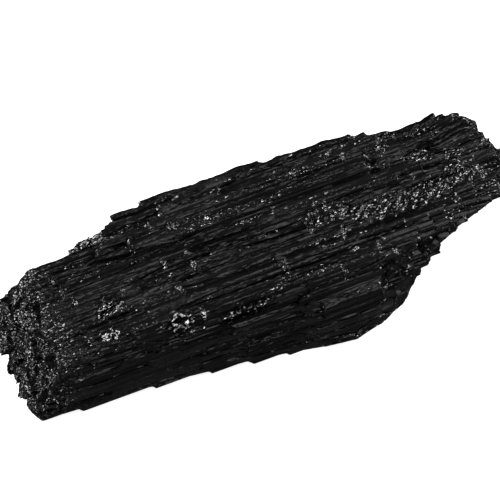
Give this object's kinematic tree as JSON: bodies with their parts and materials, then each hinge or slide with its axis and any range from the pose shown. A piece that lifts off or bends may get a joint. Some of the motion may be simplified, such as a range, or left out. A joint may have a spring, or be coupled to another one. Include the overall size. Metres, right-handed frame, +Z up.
{
  "type": "black tourmaline crystal",
  "caption": "Raw log of black tourmaline: parallel striated columns grown together, broken across at both ends, lying on a flat prism face",
  "frame": {"origin": "On the flat face that the crystal rests on, under the middle of its bounding box", "axes": "+X along the columns from the blunt stepped break to the slanted break, +Y from the front to the back, +Z up from the resting face"},
  "size_m": [0.1088, 0.0312, 0.0303],
  "materials": {
    "schorl": "natural vitreous, finely striated along the columns, sparkling where broken"
  },
  "bodies": {
    "root": {"crystal": "schorl"}
  },
  "joints": []
}
